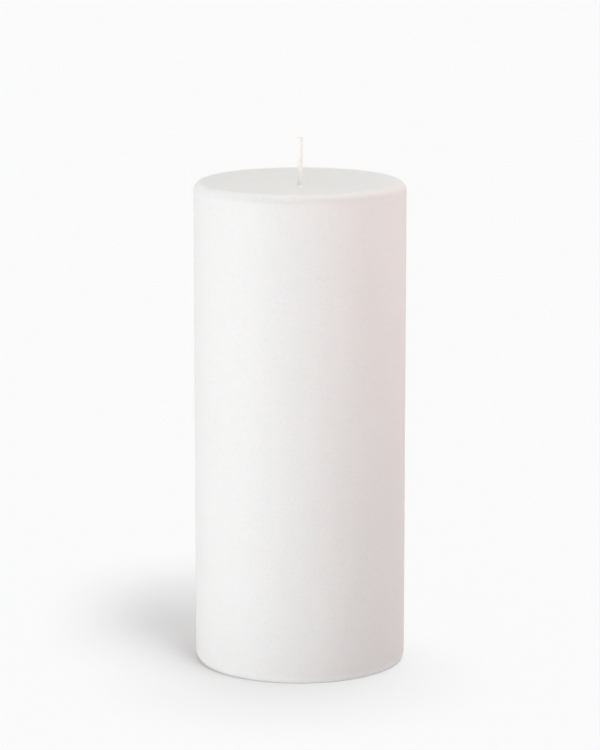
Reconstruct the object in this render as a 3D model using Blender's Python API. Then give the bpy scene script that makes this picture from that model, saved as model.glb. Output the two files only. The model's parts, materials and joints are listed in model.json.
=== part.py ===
"""A white unity candle: a wide pillar of wax that stands on its own flat base.

The candle is made the way such pillars are made. A wax core is cast with a bore up its middle and
a shallow recess in its base. A braided cotton wick, crimped into a stamped steel sustainer, goes up
the bore from below. Wax poured down the bore holds the wick, and a bead of wax in the recess holds
the sustainer. The candle is then dipped, which gives it a coat of harder wax with rounded edges, and
its base is levelled on a hot plate, which takes the coat off there and leaves the core showing.

Units are metres and +Z is up. The origin is at the centre of the base, on the surface it stands on.
"""

import math

import bmesh
import bpy

# The candle's outside.
CANDLE_RADIUS = 0.050
CANDLE_HEIGHT = 0.230  # to the crest of the rim
TOP_EDGE_RADIUS = 0.0045
BASE_EDGE_RADIUS = 0.006
BASE_TRIM = 0.002  # what levelling takes off the dipped base
DISH_DEPTH = 0.0027  # how far the top sinks from its rim to its middle
MENISCUS_HEIGHT = 0.0006  # wax that climbs the foot of the wick
MENISCUS_RADIUS = 0.0035

COAT_THICKNESS = 0.0015
FIT_GAP = 0.0003  # between pieces that touch

# The braided wick: three strands, each swinging from side to side and from front to back.
STRAND_COUNT = 3
STRAND_RADIUS = 0.00039
BRAID_HALF_WIDTH = 0.0008
BRAID_HALF_DEPTH = 0.0006
BRAID_PITCH = 0.014
BRAID_STEPS = 10  # points on a strand for each turn of the braid
WICK_ABOVE_RIM = 0.0205
WICK_FOOT = 0.0018  # height of the wick's lower end, level with the sustainer's face
WICK_END_RUN = 0.0004  # upright stretch at a strand's ends, which makes them level cuts
WICK_ENVELOPE = 0.0013  # the smallest round hole that the braid goes through, as a radius

# The core's bore and recess, and what fills them.
BORE_RADIUS = 0.003
RECESS_RADIUS = 0.015
RECESS_DEPTH = 0.0025
SUSTAINER_RADIUS = 0.010
SHEET_THICKNESS = 0.0004
COLLAR_HEIGHT = 0.010
COLLAR_WALL = 0.0005
CRIMP_FLATS = 6
CRIMP_DEPTH = 0.0002
CRIMP_LOW = 0.005  # the pressed band's ends, above the disc's face
CRIMP_HIGH = 0.008
CRIMP_FADE = 0.001
BEAD_RADIUS = 0.0067  # of the stiffening ring pressed into the disc
BEAD_HALF_WIDTH = 0.0011
BEAD_DEPTH = 0.0003
SEAL_LIP = 0.001  # how far the bead of wax reaches under the disc
SEAL_DEPTH = 0.0005

WICK_TOP = CANDLE_HEIGHT + WICK_ABOVE_RIM
WICK_HOLE = WICK_ENVELOPE + FIT_GAP
RIM_RADIUS = CANDLE_RADIUS - TOP_EDGE_RADIUS
DISC_FACE = RECESS_DEPTH - FIT_GAP - SHEET_THICKNESS
COLLAR_TOP = DISC_FACE + COLLAR_HEIGHT

WIDE_SEGMENTS = 48
NARROW_SEGMENTS = 36
DISH_STEPS = 6
MENISCUS_STEPS = 2
EDGE_STEPS = 5
FLARE_STEPS = 3


def clear_scene():
    for obj in list(bpy.data.objects):
        bpy.data.objects.remove(obj, do_unlink=True)


def material(name, colour, roughness, metallic=0.0):
    """A Principled BSDF material of one colour."""
    made = bpy.data.materials.new(name)
    made.use_nodes = True
    shader = made.node_tree.nodes["Principled BSDF"]
    shader.inputs["Base Color"].default_value = (*colour, 1.0)
    shader.inputs["Roughness"].default_value = roughness
    shader.inputs["Metallic"].default_value = metallic
    made.diffuse_color = (*colour, 1.0)
    return made


def arc(centre_r, centre_z, radius, start, end, steps):
    """Points (r, z) on an arc, with its angles in degrees from the outward horizontal."""
    turns = [math.radians(start + (end - start) * i / steps) for i in range(steps + 1)]
    return [(centre_r + radius * math.cos(a), centre_z + radius * math.sin(a)) for a in turns]


def dish_height(radius):
    """Height of the sunken top at a radius: level at the middle and at the rim's crest."""
    swing = 0.5 * (1.0 + math.cos(math.pi * radius / RIM_RADIUS))
    return CANDLE_HEIGHT - DISH_DEPTH * swing


def top_line(inner_radius, inset):
    """Points across the top from a hole out to the rim, at a depth of inset under the surface."""
    span = RIM_RADIUS - inner_radius
    radii = [inner_radius + span * i / DISH_STEPS for i in range(DISH_STEPS)]
    return [(r, dish_height(r) - inset) for r in radii]


def side_line(inset):
    """Points from the rim's crest, over the rounded edges and down to the levelled base."""
    top_centre = CANDLE_HEIGHT - TOP_EDGE_RADIUS
    base_centre = BASE_EDGE_RADIUS - BASE_TRIM
    base_radius = BASE_EDGE_RADIUS - inset
    cut = -math.degrees(math.asin(base_centre / base_radius))
    top_edge = arc(RIM_RADIUS, top_centre, TOP_EDGE_RADIUS - inset, 90, 0, EDGE_STEPS)
    base_edge = arc(
        CANDLE_RADIUS - BASE_EDGE_RADIUS, base_centre, base_radius, 0, cut, EDGE_STEPS
    )
    return top_edge + base_edge


def meniscus_line():
    """Points down the wax that climbs the wick, from the wick's hole out to the dish."""
    points = []
    for i in range(MENISCUS_STEPS):
        share = i / MENISCUS_STEPS
        radius = WICK_HOLE + (MENISCUS_RADIUS - WICK_HOLE) * share
        points.append((radius, dish_height(radius) + MENISCUS_HEIGHT * (1.0 - share) ** 2))
    return points


def link(name, mesh_or_curve, finish):
    """A new object of that name and finish, in the scene."""
    mesh_or_curve.materials.append(finish)
    obj = bpy.data.objects.new(name, mesh_or_curve)
    bpy.context.scene.collection.objects.link(obj)
    return obj


def turned(name, outline, segments, finish, reshape=None):
    """A ring-shaped solid: the closed outline of (r, z) points spun round the candle's axis."""
    mesh = bpy.data.meshes.new(name)
    bm = bmesh.new()
    corners = [bm.verts.new((r, 0.0, z)) for r, z in outline]
    edges = [bm.edges.new((a, b)) for a, b in zip(corners, corners[1:] + corners[:1])]
    bmesh.ops.spin(
        bm,
        geom=corners + edges,
        cent=(0, 0, 0),
        axis=(0, 0, 1),
        angle=2 * math.pi,
        steps=segments,
        use_merge=True,
    )
    if reshape:
        for vert in bm.verts:
            reshape(vert)
    bmesh.ops.recalc_face_normals(bm, faces=bm.faces)
    bm.to_mesh(mesh)
    bm.free()
    mesh.shade_smooth()
    mesh.set_sharp_from_angle(angle=math.radians(35))
    return link(name, mesh, finish)


def make_core(finish):
    """The cast core, with the wick's bore through it and the sustainer's recess in its base."""
    inset = COAT_THICKNESS + FIT_GAP
    outline = top_line(BORE_RADIUS, inset) + side_line(inset)
    outline += [(RECESS_RADIUS, 0.0), (RECESS_RADIUS, RECESS_DEPTH), (BORE_RADIUS, RECESS_DEPTH)]
    return turned("wax_core", outline, WIDE_SEGMENTS, finish)


def make_coat(finish):
    """The dipped coat: over the top and down the side, and open at the levelled base."""
    outer = meniscus_line() + top_line(MENISCUS_RADIUS, 0.0) + side_line(0.0)
    inner = top_line(WICK_HOLE, COAT_THICKNESS) + side_line(COAT_THICKNESS)
    return turned("overdip_coat", outer + inner[::-1], WIDE_SEGMENTS, finish)


def make_bore_seal(finish):
    """The wax poured down the bore, which holds the wick from its sustainer to the coat."""
    inner, outer = WICK_HOLE, BORE_RADIUS - FIT_GAP
    foot = COLLAR_TOP + FIT_GAP
    depth = COAT_THICKNESS + FIT_GAP
    outline = [
        (inner, foot),
        (outer, foot),
        (outer, dish_height(outer) - depth),
        (inner, dish_height(inner) - depth),
    ]
    return turned("bore_seal", outline, NARROW_SEGMENTS, finish)


def crimp(vert):
    """Presses a band of the collar's outside into flats that grip the wick."""
    radius = math.hypot(vert.co.x, vert.co.y)
    outside = WICK_HOLE + COLLAR_WALL
    margin = CRIMP_FADE / 2
    pressed = CRIMP_LOW - margin < vert.co.z - DISC_FACE < CRIMP_HIGH + margin
    if not pressed or abs(radius - outside) > COLLAR_WALL / 4:
        return
    flat = 2 * math.pi / CRIMP_FLATS
    angle = math.atan2(vert.co.y, vert.co.x) % flat - flat / 2
    reach = min(outside, (outside - CRIMP_DEPTH) / math.cos(angle))
    vert.co.x *= reach / radius
    vert.co.y *= reach / radius


def make_sustainer(finish):
    """The stamped steel disc with its collar drawn up round the wick, and a stiffening ring."""
    inner, outer = WICK_HOLE, WICK_HOLE + COLLAR_WALL
    face, back = DISC_FACE, DISC_FACE + SHEET_THICKNESS
    flare = SHEET_THICKNESS + COLLAR_WALL
    corner = COLLAR_WALL / 5
    ring_in, ring_out = BEAD_RADIUS - BEAD_HALF_WIDTH, BEAD_RADIUS + BEAD_HALF_WIDTH
    slope = BEAD_DEPTH + COLLAR_WALL / 5
    outline = arc(inner + flare, face + flare, flare, 180, 270, FLARE_STEPS)
    outline += [
        (ring_in, face),
        (ring_in + slope, face - BEAD_DEPTH),
        (ring_out - slope, face - BEAD_DEPTH),
        (ring_out, face),
        (SUSTAINER_RADIUS, face),
        (SUSTAINER_RADIUS, back),
        (ring_out, back),
        (ring_out - slope, back - BEAD_DEPTH),
        (ring_in + slope, back - BEAD_DEPTH),
        (ring_in, back),
    ]
    outline += arc(outer + COLLAR_WALL, back + COLLAR_WALL, COLLAR_WALL, 270, 180, FLARE_STEPS)
    for height in (CRIMP_LOW - CRIMP_FADE, CRIMP_LOW, CRIMP_HIGH, CRIMP_HIGH + CRIMP_FADE):
        outline.append((outer, face + height))
    outline += [(outer, COLLAR_TOP - corner), (outer - corner, COLLAR_TOP), (inner, COLLAR_TOP)]
    return turned("wick_sustainer", outline, NARROW_SEGMENTS, finish, reshape=crimp)


def make_base_seal(finish):
    """The bead of wax that fills the recess round the disc and laps under the disc's edge."""
    lip = SUSTAINER_RADIUS - SEAL_LIP
    round_disc = SUSTAINER_RADIUS + FIT_GAP
    wall = RECESS_RADIUS - FIT_GAP
    top = RECESS_DEPTH - FIT_GAP
    under_disc = DISC_FACE - FIT_GAP
    face = under_disc - SEAL_DEPTH
    outline = [
        (lip, under_disc),
        (lip, under_disc - SEAL_DEPTH / 2),
        (lip + SEAL_DEPTH, face),
        (wall - SEAL_DEPTH, face),
        (wall, face - SEAL_DEPTH / 2),
        (wall, top),
        (round_disc, top),
        (round_disc, under_disc),
    ]
    return turned("base_seal", outline, NARROW_SEGMENTS, finish)


def strand_point(phase, height):
    """Where a strand's centreline is at a height: one swing across for two swings in depth."""
    turn = 2 * math.pi * (height - WICK_FOOT) / BRAID_PITCH + phase
    return (BRAID_HALF_WIDTH * math.sin(turn), BRAID_HALF_DEPTH * math.sin(2 * turn), height)


def strand_path(phase):
    """Points along a strand, from the sustainer's face to the wick's cut end."""
    low, high = WICK_FOOT + WICK_END_RUN, WICK_TOP - WICK_END_RUN
    count = round((high - low) / BRAID_PITCH * BRAID_STEPS)
    path = [strand_point(phase, low + (high - low) * i / count) for i in range(count + 1)]
    foot = (*path[0][:2], WICK_FOOT)
    tip = (*path[-1][:2], WICK_TOP)
    return [foot, *path, tip]


def make_strand(number, finish):
    """One of the wick's strands, as a tube along its path."""
    path = strand_path(2 * math.pi * (number - 1) / STRAND_COUNT)
    curve = bpy.data.curves.new(f"wick_strand_{number}", "CURVE")
    curve.dimensions = "3D"
    curve.bevel_depth = STRAND_RADIUS
    curve.bevel_resolution = 1
    curve.use_fill_caps = True
    spline = curve.splines.new("POLY")
    spline.points.add(len(path) - 1)
    for target, point in zip(spline.points, path):
        target.co = (*point, 1.0)
    return link(curve.name, curve, finish)


def main():
    clear_scene()
    core_wax = material("core_wax", (0.88, 0.87, 0.84), 0.60)
    coat_wax = material("coat_wax", (0.92, 0.91, 0.89), 0.42)
    seal_wax = material("seal_wax", (0.90, 0.89, 0.85), 0.35)
    cotton = material("waxed_cotton", (0.90, 0.87, 0.80), 0.70)
    steel = material("tinned_steel", (0.62, 0.62, 0.60), 0.28, metallic=1.0)
    make_core(core_wax)
    make_coat(coat_wax)
    make_bore_seal(seal_wax)
    make_base_seal(seal_wax)
    make_sustainer(steel)
    for number in range(1, STRAND_COUNT + 1):
        make_strand(number, cotton)


main()
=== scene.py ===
"""The looks of a white unity candle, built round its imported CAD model.

Every piece but the wax in the wick's bore, which can't be seen, is made again as a finer mesh in the
place of its CAD node, with a procedural material. The dipped coat is all that shows of the candle's
outside. The levelled core, the steel sustainer and the wax that holds it show at the base, and the
braided wick stands out of the top.

Units are metres and +Z is up. The origin is at the centre of the base, on the floor.
"""

import json
import math

import bpy
import numpy as np
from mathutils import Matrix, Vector

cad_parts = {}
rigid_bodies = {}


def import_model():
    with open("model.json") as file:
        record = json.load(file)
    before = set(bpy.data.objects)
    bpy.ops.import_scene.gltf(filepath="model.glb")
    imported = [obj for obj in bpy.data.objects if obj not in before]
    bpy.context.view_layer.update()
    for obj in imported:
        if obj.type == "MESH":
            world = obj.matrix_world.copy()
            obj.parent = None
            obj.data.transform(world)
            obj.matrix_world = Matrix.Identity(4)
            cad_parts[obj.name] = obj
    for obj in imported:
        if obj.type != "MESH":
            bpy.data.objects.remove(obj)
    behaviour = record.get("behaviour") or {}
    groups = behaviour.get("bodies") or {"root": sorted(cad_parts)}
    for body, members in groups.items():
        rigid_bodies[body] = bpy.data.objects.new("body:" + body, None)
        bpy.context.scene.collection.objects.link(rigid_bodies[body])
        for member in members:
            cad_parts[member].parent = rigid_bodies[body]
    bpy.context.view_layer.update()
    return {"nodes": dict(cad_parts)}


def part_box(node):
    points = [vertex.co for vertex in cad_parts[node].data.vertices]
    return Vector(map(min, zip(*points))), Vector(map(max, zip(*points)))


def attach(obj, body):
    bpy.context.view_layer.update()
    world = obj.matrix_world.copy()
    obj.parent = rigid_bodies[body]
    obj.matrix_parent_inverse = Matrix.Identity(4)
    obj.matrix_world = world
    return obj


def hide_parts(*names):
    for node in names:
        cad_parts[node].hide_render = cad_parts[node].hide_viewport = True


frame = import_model()

MM = 0.001

# Sizes that the frame gives.
_, COAT_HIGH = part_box("overdip_coat")
_, CORE_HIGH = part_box("wax_core")
DISC_LOW, DISC_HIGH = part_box("wick_sustainer")
BEAD_LOW, BEAD_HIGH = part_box("base_seal")
WICK_LOW, WICK_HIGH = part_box("wick_strand_1")
RADIUS = COAT_HIGH.x
RIM_HEIGHT = COAT_HIGH.z
CORE_RADIUS = CORE_HIGH.x

# The candle's outline, as the design has it.
TOP_EDGE = 4.5 * MM
BASE_EDGE = 6.0 * MM
BASE_TRIM = 2.0 * MM
DISH_DEPTH = 2.7 * MM
COAT_THICKNESS = 1.5 * MM
MENISCUS_RADIUS = 3.5 * MM
MENISCUS_HEIGHT = 0.6 * MM
WICK_HOLE = 1.6 * MM
WICK_SOAK = 0.05 * MM
CORE_GAP = 0.15 * MM
BORE_RADIUS = 3.0 * MM
RECESS_RADIUS = 15.0 * MM
RECESS_DEPTH = 2.5 * MM
RECESS_EDGE = 0.4 * MM
RIM_RADIUS = RADIUS - TOP_EDGE
TURNED_SIDES = 192

# The unevenness that dipping leaves, and how far it takes to fade out.
SIDE_WAVE = 0.10 * MM
SIDE_WAVE_PITCH = 70 * MM
SIDE_FADE = 20 * MM
TOP_RIPPLE = 0.07 * MM
TOP_RIPPLE_PITCH = 26 * MM
TOP_FADE = 8 * MM

# The braid.
BRAID_HALF_WIDTH = 0.8 * MM
BRAID_HALF_DEPTH = 0.6 * MM
BRAID_PITCH = 14.0 * MM
STRAND_COUNT = 3
STRAND_SIDES = 36
STRAND_CORNER = 7.0  # how sharply a strand's outline turns where it meets a neighbour
YARN_COUNT = 6
YARN_PITCH = 5.0 * MM
YARN_GROOVE = 0.08
CUT_ROUNDING = 0.1 * MM

# The sustainer, stamped from sheet.
SHEET = 0.4 * MM
COLLAR_WALL = 0.5 * MM
PRESSED_RING = 6.7 * MM
PRESSED_HALF_WIDTH = 1.1 * MM
PRESS_DEPTH = 0.3 * MM
CRIMP_FLATS = 6
CRIMP_DEPTH = 0.2 * MM
CRIMP_LOW = 5.0 * MM
CRIMP_HIGH = 8.0 * MM
CRIMP_FADE = 1.0 * MM
SMALL_SIDES = 180

# The bead of wax in the recess.
BEAD_LIP = 9.0 * MM
BEAD_DEPTH = 0.5 * MM
BEAD_WANDER = 0.9 * MM
BEAD_SAG = 0.12 * MM
BEAD_SAG_PITCH = 9 * MM
DISC_GAP = 0.3 * MM

# How far light goes in the wax before it turns, for red, green and blue, and the wax's index.
WAX_SCATTER = (1.0, 0.92, 0.85)
WAX_IOR = 1.44

# Colours, as linear red, green and blue.
COAT_WHITE = (0.844, 0.843, 0.841)
COAT_SHADE = (0.820, 0.818, 0.814)
CORE_WHITE = (0.830, 0.815, 0.785)
CORE_SHADE = (0.770, 0.750, 0.710)
SEAL_WHITE = (0.840, 0.825, 0.790)
SEAL_SHADE = (0.800, 0.780, 0.730)
COTTON_CREAM = (0.985, 0.975, 0.950)
COTTON_SHADE = (0.960, 0.940, 0.900)
TIN_BRIGHT = (0.800, 0.795, 0.780)
TIN_DULL = (0.620, 0.615, 0.600)

# The studio.
FLOOR_RADIUS = 15.0
FLOOR_DROP = 0.1 * MM
FLOOR_COLOUR = (0.95, 0.95, 0.95)
ROOM_SEEN = (0.956, 0.956, 0.956)
ROOM_LIGHT = (0.195, 0.170, 0.162)
NEUTRAL = (1.0, 1.0, 1.0)
COOL = (0.97, 1.0, 1.01)
SUNS = (
    # name, what it lights, azimuth, elevation and spread in degrees, strength, colour
    ("top_back", "candle", 180.0, 75.0, 30.0, 2.01, (0.93, 1.00, 0.99)),
    ("key_near", "floor", 58.0, 74.0, 13.0, 0.33, COOL),
    ("key_middle", "floor", 35.0, 67.0, 13.0, 0.36, COOL),
    ("key_far", "floor", 24.0, 60.0, 13.0, 0.38, COOL),
    ("overhead", "floor", 0.0, 90.0, 150.0, 1.07, COOL),
    ("shadow_back", "floor", 172.0, 80.0, 26.0, 0.60, COOL),
)
SOFTBOXES = (
    # name, azimuth in degrees, distance from the candle's axis, height, size, watts, colour
    ("left", -50.0, 0.90, 0.06, 0.50, 6.05, (0.97, 1.00, 1.01)),
    ("front_high", 0.0, 0.90, 0.90, 0.50, 1.45, NEUTRAL),
    ("back", 180.0, 0.90, 0.15, 0.50, 0.85, NEUTRAL),
    ("right_warm", 70.0, 0.42, 0.34, 0.22, 0.54, (1.00, 0.72, 0.68)),
)
SOFTBOX_AIM = 0.12

# The camera.
CAMERA_LENS = 163.5
CAMERA_SENSOR = 36.0
CAMERA_DISTANCE = 1.5815
CAMERA_HEIGHT = 0.4518
CAMERA_TILT = 11.25


# ---------------------------------------------------------------- mesh making


def add_mesh(name, points, faces, smooth_below=35.0):
    """A new shaded mesh object, with edges sharper than the angle in degrees kept sharp."""
    mesh = bpy.data.meshes.new(name)
    mesh.from_pydata([tuple(p) for p in points], [], faces)
    mesh.validate()
    mesh.shade_smooth()
    mesh.set_sharp_from_angle(angle=math.radians(smooth_below))
    obj = bpy.data.objects.new(name, mesh)
    bpy.context.scene.collection.objects.link(obj)
    return obj


def ring_faces(rings, sides, closed):
    """Quads between rings of points, wrapped round each ring, and from last to first if closed."""
    faces = []
    for i in range(rings if closed else rings - 1):
        low = i * sides
        high = (i + 1) % rings * sides
        for j in range(sides):
            k = (j + 1) % sides
            faces.append((low + j, low + k, high + k, high + j))
    return faces


def turned(name, outline, segments, reshape=None):
    """A closed outline of (r, z) points, counter-clockwise, turned round the candle's axis."""
    profile = np.array(outline)
    angle = np.linspace(0.0, 2 * math.pi, segments, endpoint=False)
    radius, turn = np.meshgrid(profile[:, 0], angle, indexing="ij")
    height = np.repeat(profile[:, 1:2], segments, axis=1)
    if reshape:
        radius, height = reshape(radius, turn, height)
    points = np.stack([radius * np.cos(turn), radius * np.sin(turn), height], axis=2)
    return add_mesh(name, points.reshape(-1, 3), ring_faces(len(profile), segments, closed=True))


def arc(centre_r, centre_z, radius, start, end, steps):
    """Points (r, z) on an arc, with its angles in degrees from the outward horizontal."""
    turns = np.radians(np.linspace(start, end, steps + 1))
    return [(centre_r + radius * math.cos(a), centre_z + radius * math.sin(a)) for a in turns]


def line(start, end, step):
    """Points (r, z) from start up to, but not including, end, about a step apart."""
    count = max(1, round(math.dist(start, end) / step))
    return [tuple(np.add(start, np.subtract(end, start) * i / count)) for i in range(count)]


def waves(turn, along, seed, amount, pitch):
    """Gentle unevenness: a few sine waves with seeded directions, round the axis and along it."""
    rng = np.random.default_rng(seed)
    total = np.zeros_like(along)
    for _ in range(6):
        lobes = rng.integers(0, 5)
        phase, lean = rng.uniform(0, 2 * math.pi, 2)
        stretch = rng.uniform(0.6, 1.8)
        total += np.cos(lobes * turn + phase) * np.cos(2 * math.pi * along * stretch / pitch + lean)
    return amount * total / 6


# ---------------------------------------------------------------- the wax pieces


def dish_height(radius):
    """Height of the sunken top at a radius: level at the middle and at the rim's crest."""
    swing = 0.5 * (1.0 + math.cos(math.pi * radius / RIM_RADIUS))
    return RIM_HEIGHT - DISH_DEPTH * swing


def top_line(outer_radius, inner_radius, inset, step):
    """Points in from the rim to a hole, at a depth of inset under the top."""
    flat = line((outer_radius, 0.0), (inner_radius, 0.0), step) + [(inner_radius, 0.0)]
    return [(r, dish_height(r) - inset) for r, _ in flat]


def side_line(inset, step, edge_steps):
    """Points up from the levelled base, over its rounded edge, up the side and over the rim."""
    base_centre = BASE_EDGE - BASE_TRIM
    base_radius = BASE_EDGE - inset
    cut = -math.degrees(math.asin(base_centre / base_radius))
    low = arc(RADIUS - BASE_EDGE, base_centre, base_radius, cut, 0, edge_steps)
    rim = arc(RIM_RADIUS, RIM_HEIGHT - TOP_EDGE, TOP_EDGE - inset, 0, 90, edge_steps)
    return low[:-1] + line(low[-1], rim[0], step) + rim[:-1]


def meniscus_line(steps):
    """Points up the wax that climbs the wick's foot, from the dish to the wick's hole."""
    points = []
    for i in range(1, steps + 1):
        share = i / steps
        radius = MENISCUS_RADIUS + (WICK_HOLE - MENISCUS_RADIUS) * share
        points.append((radius, dish_height(radius) + MENISCUS_HEIGHT * share**2))
    return points


def wick_oval(turn):
    """The radius of the oval that the wick fills, less the wax that soaks into its grooves."""
    half_x, half_y = WICK_HIGH.x - WICK_SOAK, WICK_HIGH.y - WICK_SOAK
    return 1.0 / np.hypot(np.cos(turn) / half_x, np.sin(turn) / half_y)


def uneven_coat(radius, turn, height):
    """Dipping leaves the coat's outside very slightly wavy, and its wax hugs the wick.

    The waves on the side only go inwards."""
    outside = radius > CORE_RADIUS
    side = np.clip((RIM_HEIGHT - height) / SIDE_FADE, 0.0, 1.0) * outside
    depth = SIDE_WAVE + waves(turn, height, seed=3, amount=SIDE_WAVE, pitch=SIDE_WAVE_PITCH)
    top = np.clip((height - RIM_HEIGHT + DISH_DEPTH + 0.5 * MM) / MM, 0.0, 1.0)
    fade = top * np.clip((RIM_RADIUS - radius) / TOP_FADE, 0.0, 1.0)
    ripple = waves(turn, radius, seed=5, amount=TOP_RIPPLE, pitch=TOP_RIPPLE_PITCH)
    hug = np.clip((MENISCUS_RADIUS - radius) / (MENISCUS_RADIUS - WICK_HOLE), 0.0, 1.0)
    radius = radius - side * depth + hug * (wick_oval(turn) - WICK_HOLE)
    return radius, height + fade * ripple * (radius > MENISCUS_RADIUS)


def make_coat():
    """The dipped coat, from its levelled lower edge up over the rim to the wick."""
    outer = side_line(inset=0.0, step=2.0 * MM, edge_steps=16)
    outer += top_line(RIM_RADIUS, MENISCUS_RADIUS, inset=0.0, step=1.2 * MM)
    outer += meniscus_line(steps=6)
    inner = side_line(inset=COAT_THICKNESS, step=6.0 * MM, edge_steps=6)
    inner += top_line(RIM_RADIUS, WICK_HOLE, inset=COAT_THICKNESS, step=4.0 * MM)
    return turned("coat", outer + inner[::-1], TURNED_SIDES, uneven_coat)


def make_core():
    """The cast core, which shows only where the base is levelled."""
    inset = COAT_THICKNESS + CORE_GAP
    outline = side_line(inset, step=6.0 * MM, edge_steps=8)
    outline += top_line(RIM_RADIUS, BORE_RADIUS, inset, step=4.0 * MM)
    outline += [(BORE_RADIUS, RECESS_DEPTH)]
    outline += line((BORE_RADIUS + MM, RECESS_DEPTH), (RECESS_RADIUS, RECESS_DEPTH), 2.0 * MM)
    edge = RECESS_EDGE
    outline += [(RECESS_RADIUS, RECESS_DEPTH)] + arc(RECESS_RADIUS + edge, edge, edge, 180, 270, 4)
    rim = outline[0][0]
    outline += line((RECESS_RADIUS + edge + MM, 0.0), (rim, 0.0), 3.0 * MM)
    return turned("core", outline, TURNED_SIDES)


# ---------------------------------------------------------------- the wick


def strand_centre(number, height):
    """Where a strand's centreline is: one swing across for two swings in depth."""
    phase = 2 * math.pi * (number - 1) / STRAND_COUNT
    turn = 2 * math.pi * (height - WICK_LOW.z) / BRAID_PITCH + phase
    return np.stack([BRAID_HALF_WIDTH * np.sin(turn), BRAID_HALF_DEPTH * np.sin(2 * turn)], axis=-1)


def ring_heights():
    """Ring heights along the wick: close together at its two ends, which can be seen."""
    foot_end = DISC_HIGH.z + 3 * MM
    stub = RIM_HEIGHT - DISH_DEPTH - 4 * MM
    parts = [
        np.arange(WICK_LOW.z, foot_end, 0.5 * MM),
        np.arange(foot_end, stub, 1.0 * MM),
        np.arange(stub, WICK_HIGH.z - CUT_ROUNDING, 0.25 * MM),
        [WICK_HIGH.z - CUT_ROUNDING],
    ]
    return np.concatenate(parts)


def reach_to_envelope(centre, way):
    """How far each way goes from a centre before it leaves the oval that the braid fills."""
    half = np.array([WICK_HIGH.x, WICK_HIGH.y])
    start, step = centre[:, None, :] / half, way[None, :, :] / half
    a = (step * step).sum(-1)
    b = (start * step).sum(-1)
    c = (start * start).sum(-1) - 1.0
    return (-b + np.sqrt(b * b - a * c)) / a


def reach_to_neighbour(centre, other, way):
    """How far each way goes from a centre before it is nearer to another strand."""
    apart = other - centre
    distance = np.linalg.norm(apart, axis=1, keepdims=True)
    facing = (way[None, :, :] * (apart / distance)[:, None, :]).sum(-1)
    return distance / 2 / np.maximum(facing, 1e-3)


def make_strand(number):
    """One soft strand, pressed against its neighbours, with its plied yarns as winding ribs."""
    height = ring_heights()
    centre = strand_centre(number, height)
    angle = np.linspace(0.0, 2 * math.pi, STRAND_SIDES, endpoint=False)
    way = np.stack([np.cos(angle), np.sin(angle)], axis=1)
    limits = [reach_to_envelope(centre, way)]
    for other in range(1, STRAND_COUNT + 1):
        if other != number:
            limits.append(reach_to_neighbour(centre, strand_centre(other, height), way))
    reach = sum(limit**-STRAND_CORNER for limit in limits) ** (-1 / STRAND_CORNER)
    twist = 2 * math.pi * height[:, None] / YARN_PITCH
    rib = np.abs(np.cos(YARN_COUNT / 2 * (angle[None, :] - twist)))
    reach *= 1.0 - YARN_GROOVE * (1.0 - rib**0.7)
    flat = centre[:, None, :] + reach[..., None] * way[None, :, :]
    rings = np.concatenate([flat, np.broadcast_to(height[:, None, None], (*flat.shape[:2], 1))], axis=2)
    middle, edge = np.append(centre[-1], 0.0), rings[len(height) - 1]
    for share, sink in ((0.93, 0.0), (0.62, 0.05 * MM), (0.25, 0.09 * MM)):
        cut = middle + (edge - middle) * share
        cut[:, 2] = WICK_HIGH.z - sink
        rings = np.concatenate([rings, cut[None]])
    faces = ring_faces(len(rings), STRAND_SIDES, closed=False)
    last = (len(rings) - 1) * STRAND_SIDES
    faces.append(tuple(range(last, last + STRAND_SIDES)))
    faces.append(tuple(range(STRAND_SIDES - 1, -1, -1)))
    return add_mesh(f"strand_{number}", rings.reshape(-1, 3), faces, smooth_below=60.0)


# ---------------------------------------------------------------- the sustainer and its wax


def make_sustainer():
    """The stamped steel disc, with its pressed ring and the collar that is crimped on the wick."""
    inner, outer = WICK_HOLE, WICK_HOLE + COLLAR_WALL
    face = DISC_LOW.z + PRESS_DEPTH
    back = face + SHEET
    top = DISC_HIGH.z
    disc_edge = DISC_HIGH.x
    flare = SHEET + COLLAR_WALL
    lip, rolled = 0.1 * MM, SHEET / 2
    under = pressed_ring(face, 1)
    over = pressed_ring(back, -1)
    outline = arc(inner + flare, face + flare, flare, 180, 270, 8)
    outline += under + arc(disc_edge - rolled, face + rolled, rolled, -90, 90, 8) + over
    outline += arc(outer + COLLAR_WALL, back + COLLAR_WALL, COLLAR_WALL, 270, 180, 6)
    outline += line((outer, back + COLLAR_WALL + lip), (outer, top - lip), 0.3 * MM)
    outline += arc(outer - lip, top - lip, lip, 0, 90, 3) + arc(inner + lip, top - lip, lip, 90, 180, 3)
    return turned("sustainer", outline, SMALL_SIDES, crimped)


def pressed_ring(level, way):
    """Points (r, z) along one side of the disc's stiffening ring, outwards if way is 1."""
    swing = np.linspace(-math.pi, math.pi, 13)
    points = [
        (PRESSED_RING + PRESSED_HALF_WIDTH * t / math.pi, level - PRESS_DEPTH * (1 + math.cos(t)) / 2)
        for t in swing
    ]
    return points[::way]


def crimped(radius, turn, height):
    """Six flats pressed into a band of the collar's outside."""
    outside = WICK_HOLE + COLLAR_WALL
    above = height - DISC_LOW.z - PRESS_DEPTH
    band = np.clip(np.minimum(above - CRIMP_LOW, CRIMP_HIGH - above) / CRIMP_FADE + 1.0, 0.0, 1.0)
    flat = 2 * math.pi / CRIMP_FLATS
    across_flat = turn % flat - flat / 2
    reach = np.minimum(outside, (outside - CRIMP_DEPTH) / np.cos(across_flat))
    on_outside = np.abs(radius - outside) < COLLAR_WALL / 4
    return np.where(on_outside, radius + (reach - radius) * band, radius), height


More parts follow.
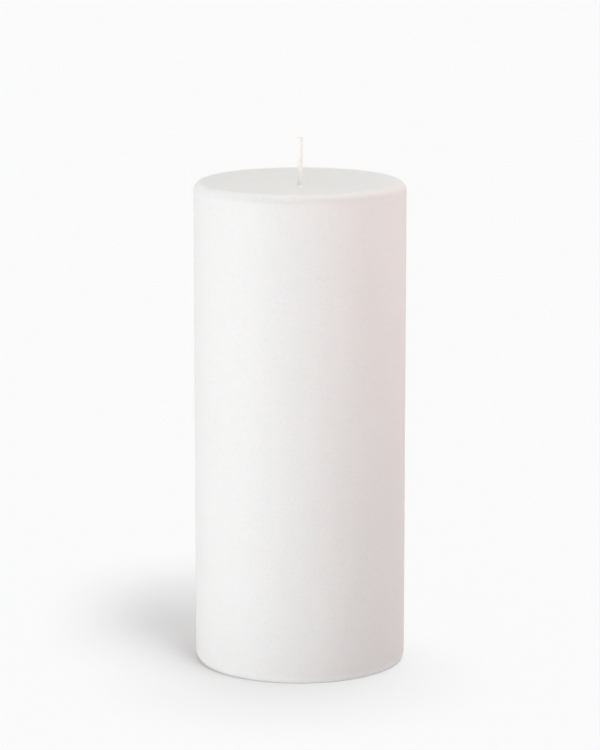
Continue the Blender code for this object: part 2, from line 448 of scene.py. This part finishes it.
def make_recess_wax():
    """The bead of wax round the disc: poured, so its lip wanders and its face sags a little."""
    lip, wall = BEAD_LIP, BEAD_HIGH.x
    top, face = BEAD_HIGH.z, BEAD_LOW.z
    under_disc = face + BEAD_DEPTH
    soft = BEAD_DEPTH / 2
    outline = [(lip, under_disc)] + arc(lip + soft, face + soft, soft, 180, 270, 6)
    outline += line((lip + 2 * soft, face), (wall - 2 * soft, face), 0.5 * MM)
    outline += arc(wall - soft, face + soft, soft, 270, 360, 6) + [(wall, top)]
    outline += [(DISC_HIGH.x + DISC_GAP, top), (DISC_HIGH.x + DISC_GAP, under_disc)]

    def poured(radius, turn, height):
        low = np.clip((under_disc - height) / BEAD_DEPTH, 0.0, 1.0)
        wander = waves(turn, height * 0.0, seed=11, amount=BEAD_WANDER, pitch=MM)
        near_lip = np.clip((lip + 1.5 * MM - radius) / (1.5 * MM), 0.0, 1.0)
        sag = BEAD_SAG + waves(turn, radius, seed=12, amount=BEAD_SAG, pitch=BEAD_SAG_PITCH)
        middle = np.clip(np.minimum(radius - lip, wall - radius) / MM, 0.0, 1.0)
        return radius + near_lip * np.abs(wander), height + low * middle * sag

    return turned("recess_wax", outline, SMALL_SIDES, poured)


# ---------------------------------------------------------------- materials


class Shader:
    """A Principled BSDF material, with short ways to add the nodes that drive it."""

    def __init__(self, name, **sockets):
        self.material = bpy.data.materials.new(name)
        self.material.use_nodes = True
        self.tree = self.material.node_tree
        self.main = self.tree.nodes["Principled BSDF"]
        for socket, value in sockets.items():
            self.main.inputs[socket.replace("_", " ")].default_value = value
        self.place = self.add("ShaderNodeTexCoord").outputs["Object"]

    def add(self, kind, inputs=None, **settings):
        """A node of that kind, with its settings, and its inputs set or linked."""
        node = self.tree.nodes.new(kind)
        for key, value in settings.items():
            setattr(node, key, value)
        for key, value in (inputs or {}).items():
            if isinstance(value, bpy.types.NodeSocket):
                self.tree.links.new(value, node.inputs[key])
            else:
                node.inputs[key].default_value = value
        return node

    def drive(self, socket, output):
        """Lets an output set one of the main shader's sockets."""
        self.tree.links.new(output, self.main.inputs[socket])

    def stretched(self, x, y, z):
        """The place in the object's space, scaled along each axis."""
        return self.add("ShaderNodeMapping", {"Vector": self.place, "Scale": (x, y, z)}).outputs[0]

    def noise(self, size, detail=4.0, roughness=0.5, place=None):
        """Noise from 0 to 1, with features of about that size."""
        inputs = {"Scale": 1.0 / size, "Detail": detail, "Roughness": roughness}
        inputs["Vector"] = place or self.place
        return self.add("ShaderNodeTexNoise", inputs).outputs["Fac"]

    def ramp(self, value, low, high, to_low=0.0, to_high=1.0):
        """The value's range from low to high, mapped smoothly to another range."""
        inputs = {1: low, 2: high, 3: to_low, 4: to_high}
        node = self.add("ShaderNodeMapRange", inputs, interpolation_type="SMOOTHSTEP")
        self.tree.links.new(value, node.inputs[0])
        return node.outputs[0]

    def blend(self, factor, first, second):
        """A colour between two others, by a factor."""
        node = self.add("ShaderNodeMix", data_type="RGBA")
        for index, value in ((0, factor), (6, first), (7, second)):
            if isinstance(value, bpy.types.NodeSocket):
                self.tree.links.new(value, node.inputs[index])
            else:
                node.inputs[index].default_value = value if index == 0 else (*value, 1.0)
        return node.outputs[2]

    def relief(self, layers):
        """Bumps, each a (height, depth in metres) pair, added one over the other."""
        normal = None
        for height, depth in layers:
            inputs = {"Height": height, "Distance": depth, "Strength": 1.0}
            if normal:
                inputs["Normal"] = normal
            normal = self.add("ShaderNodeBump", inputs).outputs["Normal"]
        self.drive("Normal", normal)


def wax(name, colour, shade, roughness, grain, depth):
    """White wax that lets light in to a depth, with faint clouds, bloom, dimples and drag lines."""
    shader = Shader(
        name,
        Subsurface_Weight=0.6,
        Subsurface_Radius=WAX_SCATTER,
        Subsurface_Scale=depth,
        IOR=WAX_IOR,
    )
    clouds = shader.ramp(shader.noise(12 * MM, 4.0, 0.6), 0.35, 0.65, 0.0, 0.20)
    bloom = shader.ramp(shader.noise(1.6 * MM, 4.0, 0.65), 0.42, 0.66, 0.0, 0.90)
    tint = shader.blend(clouds, colour, shade)
    shader.drive("Base Color", shader.blend(bloom, tint, shade))
    gloss = shader.noise(5 * MM, 4.0, 0.6)
    shader.drive("Roughness", shader.ramp(gloss, 0.3, 0.7, roughness - 0.06, roughness + 0.08))
    dimples = shader.noise(4.0 * MM, 2.0, 0.5)
    drawn = shader.noise(1.4 * MM, 3.0, 0.6, shader.stretched(1.0, 1.0, 0.3))
    fine = shader.noise(0.35 * MM, 3.0, 0.6)
    shader.relief([(dimples, 0.10 * MM), (drawn, 0.06 * MM), (fine, grain)])
    return shader.material


def levelled_wax(name, colour, shade):
    """Cast wax that a hot plate has smeared flat: matt, with arcs of drag marks and a grain."""
    shader = Shader(
        name,
        Subsurface_Weight=1.0,
        Subsurface_Radius=WAX_SCATTER,
        Subsurface_Scale=0.8 * MM,
        IOR=WAX_IOR,
    )
    crystals = shader.add("ShaderNodeTexVoronoi", {"Vector": shader.place, "Scale": 1 / (2.4 * MM)})
    flake = shader.ramp(crystals.outputs["Distance"], 0.1, 0.7, 0.0, 0.5)
    clouds = shader.ramp(shader.noise(11 * MM, 4.0, 0.6), 0.35, 0.65, 0.0, 0.7)
    tint = shader.blend(clouds, colour, shade)
    shader.drive("Base Color", shader.blend(flake, tint, shade))
    shader.drive("Roughness", shader.ramp(shader.noise(3 * MM), 0.3, 0.7, 0.42, 0.66))
    drag = shader.noise(1.2 * MM, 3.0, 0.6, shader.stretched(0.12, 1.0, 1.0))
    fine = shader.noise(0.4 * MM, 2.0, 0.6)
    shader.relief([(drag, 0.12 * MM), (fine, 0.05 * MM)])
    return shader.material


def waxed_cotton(name, colour, shade):
    """Cream cotton yarn primed with wax: fine fibres along the strand under a thin film."""
    shader = Shader(
        name,
        Subsurface_Weight=0.15,
        Subsurface_Radius=WAX_SCATTER,
        Subsurface_Scale=0.2 * MM,
        Sheen_Weight=0.15,
        Sheen_Roughness=0.4,
        IOR=WAX_IOR,
    )
    fibres = shader.noise(0.09 * MM, 3.0, 0.65, shader.stretched(1.0, 1.0, 0.12))
    patches = shader.ramp(shader.noise(1.6 * MM, 3.0, 0.5), 0.35, 0.65, 0.0, 0.6)
    tint = shader.blend(patches, colour, shade)
    shader.drive("Base Color", shader.blend(shader.ramp(fibres, 0.3, 0.7, 0.0, 0.4), tint, shade))
    shader.drive("Roughness", shader.ramp(patches, 0.0, 0.6, 0.5, 0.78))
    shader.relief([(fibres, 0.008 * MM)])
    return shader.material


def tinned_steel(name, colour, shade):
    """Stamped tinplate: bright metal with rolled-in streaks, soft spangle and fine scratches."""
    shader = Shader(name, Metallic=1.0)
    spangle = shader.add("ShaderNodeTexVoronoi", {"Vector": shader.place, "Scale": 1 / (2.2 * MM)})
    rolled = shader.noise(0.5 * MM, 3.0, 0.6, shader.stretched(0.05, 1.0, 1.0))
    scratch = shader.noise(0.16 * MM, 2.0, 0.5, shader.stretched(1.0, 0.04, 1.0))
    grey = shader.ramp(spangle.outputs["Distance"], 0.1, 0.8, 0.0, 0.6)
    shader.drive("Base Color", shader.blend(grey, colour, shade))
    shader.drive("Roughness", shader.ramp(rolled, 0.3, 0.7, 0.22, 0.42))
    shader.relief([(rolled, 0.02 * MM), (scratch, 0.01 * MM)])
    return shader.material


# ---------------------------------------------------------------- floor, lights and camera


def make_floor():
    """A wide white floor, just under the candle's base."""
    bpy.ops.mesh.primitive_circle_add(
        vertices=64, radius=FLOOR_RADIUS, fill_type="NGON", location=(0.0, 0.0, -FLOOR_DROP)
    )
    floor = bpy.context.object
    floor.name = "floor"
    shader = Shader("floor_white", Roughness=1.0, Specular_IOR_Level=0.0)
    shader.main.inputs["Base Color"].default_value = (*FLOOR_COLOUR, 1.0)
    floor.data.materials.append(shader.material)
    return floor


def direction(azimuth, elevation):
    """The way to a light. Azimuth 0 is the camera's side, and 90 is to its right."""
    a, e = math.radians(azimuth), math.radians(elevation)
    return Vector((math.sin(a) * math.cos(e), -math.cos(a) * math.cos(e), math.sin(e)))


def add_lamp(name, kind, power, colour, towards, place, lit, casters):
    """A lamp that the camera can't see. It lights one collection, and another casts its shade."""
    lamp = bpy.data.lights.new(name, kind)
    lamp.energy = power
    lamp.color = colour
    obj = bpy.data.objects.new(name, lamp)
    obj.location = place
    obj.rotation_mode = "QUATERNION"
    obj.rotation_quaternion = towards.to_track_quat("Z", "Y")
    obj.visible_camera = False
    obj.light_linking.receiver_collection = lit
    obj.light_linking.blocker_collection = casters
    bpy.context.scene.collection.objects.link(obj)
    return lamp


def add_sun(name, lit, casters, azimuth, elevation, spread, strength, colour):
    """A soft light from far away."""
    towards = direction(azimuth, elevation)
    lamp = add_lamp(name, "SUN", strength, colour, towards, (0.0, 0.0, 1.0), lit, casters)
    lamp.angle = math.radians(spread)


def add_softbox(name, lit, casters, azimuth, distance, height, size, watts, colour):
    """A square softbox beside the candle, aimed at its middle."""
    aim = Vector((0.0, 0.0, SOFTBOX_AIM))
    place = direction(azimuth, 0.0) * distance + Vector((0.0, 0.0, height))
    lamp = add_lamp(name, "AREA", watts, colour, place - aim, place, lit, casters)
    lamp.shape = "SQUARE"
    lamp.size = size


def make_world():
    """An even white room. The camera sees it far brighter than the light that it gives."""
    world = bpy.data.worlds.new("room")
    world.use_nodes = True
    bpy.context.scene.world = world
    tree = world.node_tree
    tree.nodes.clear()
    seen = tree.nodes.new("ShaderNodeBackground")
    given = tree.nodes.new("ShaderNodeBackground")
    path = tree.nodes.new("ShaderNodeLightPath")
    mix = tree.nodes.new("ShaderNodeMixShader")
    end = tree.nodes.new("ShaderNodeOutputWorld")
    seen.inputs["Color"].default_value = (*ROOM_SEEN, 1.0)
    given.inputs["Color"].default_value = (*ROOM_LIGHT, 1.0)
    tree.links.new(path.outputs["Is Camera Ray"], mix.inputs[0])
    tree.links.new(given.outputs[0], mix.inputs[1])
    tree.links.new(seen.outputs[0], mix.inputs[2])
    tree.links.new(mix.outputs[0], end.inputs["Surface"])


def make_camera():
    """A long lens that looks a little down on the candle."""
    cam = bpy.data.cameras.new("camera")
    cam.lens = CAMERA_LENS
    cam.sensor_width = CAMERA_SENSOR
    cam.clip_start = 0.05
    cam.clip_end = 4 * FLOOR_RADIUS
    obj = bpy.data.objects.new("camera", cam)
    obj.location = (0.0, -CAMERA_DISTANCE, CAMERA_HEIGHT)
    obj.rotation_euler = (math.radians(90.0 - CAMERA_TILT), 0.0, 0.0)
    bpy.context.scene.collection.objects.link(obj)
    bpy.context.scene.camera = obj


# ---------------------------------------------------------------- putting it together


def stand_in(piece, finish, node, candle):
    """Gives a piece its material and its slot, and stands it in for its CAD node.

    The wax throws no light back on the floor, which leaves the floor even."""
    piece.data.materials.append(finish)
    piece.visible_diffuse = False
    candle.objects.link(piece)
    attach(piece, "root")
    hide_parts(node)


def make_candle():
    """Every piece of the candle, gathered in a collection that has lights of its own."""
    candle = bpy.data.collections.new("candle")
    coat_wax = wax(
        "coat_wax", COAT_WHITE, COAT_SHADE, roughness=0.62, grain=0.02 * MM, depth=1.0 * MM
    )
    seal_wax = wax(
        "seal_wax", SEAL_WHITE, SEAL_SHADE, roughness=0.30, grain=0.01 * MM, depth=1.2 * MM
    )
    core_wax = levelled_wax("core_wax", CORE_WHITE, CORE_SHADE)
    cotton = waxed_cotton("waxed_cotton", COTTON_CREAM, COTTON_SHADE)
    steel = tinned_steel("tinned_steel", TIN_BRIGHT, TIN_DULL)
    stand_in(make_coat(), coat_wax, "overdip_coat", candle)
    stand_in(make_core(), core_wax, "wax_core", candle)
    stand_in(make_recess_wax(), seal_wax, "base_seal", candle)
    stand_in(make_sustainer(), steel, "wick_sustainer", candle)
    for number in range(1, STRAND_COUNT + 1):
        stand_in(make_strand(number), cotton, f"wick_strand_{number}", candle)
    bore_seal = frame["nodes"]["bore_seal"]
    bore_seal.data.materials.clear()
    bore_seal.data.materials.append(seal_wax)
    candle.objects.link(bore_seal)
    return candle


def without_wick(candle, stage):
    """The wax, the steel and the floor, which shade the candle. The wick is too thin to."""
    casters = bpy.data.collections.new("casters")
    for obj in [*candle.objects, *stage.objects]:
        if not obj.name.startswith("strand"):
            casters.objects.link(obj)
    return casters


def make_studio(candle):
    """The floor and the candle are lit apart, so that the shadow can be soft and the wax even."""
    bpy.context.scene.view_settings.view_transform = "Standard"
    stage = bpy.data.collections.new("stage")
    stage.objects.link(make_floor())
    make_world()
    all_cast_shade = None
    linked = {"candle": (candle, without_wick(candle, stage)), "floor": (stage, all_cast_shade)}
    for name, lit, *settings in SUNS:
        add_sun(name, *linked[lit], *settings)
    for name, *settings in SOFTBOXES:
        add_softbox(name, *linked["candle"], *settings)
    make_camera()


make_studio(make_candle())
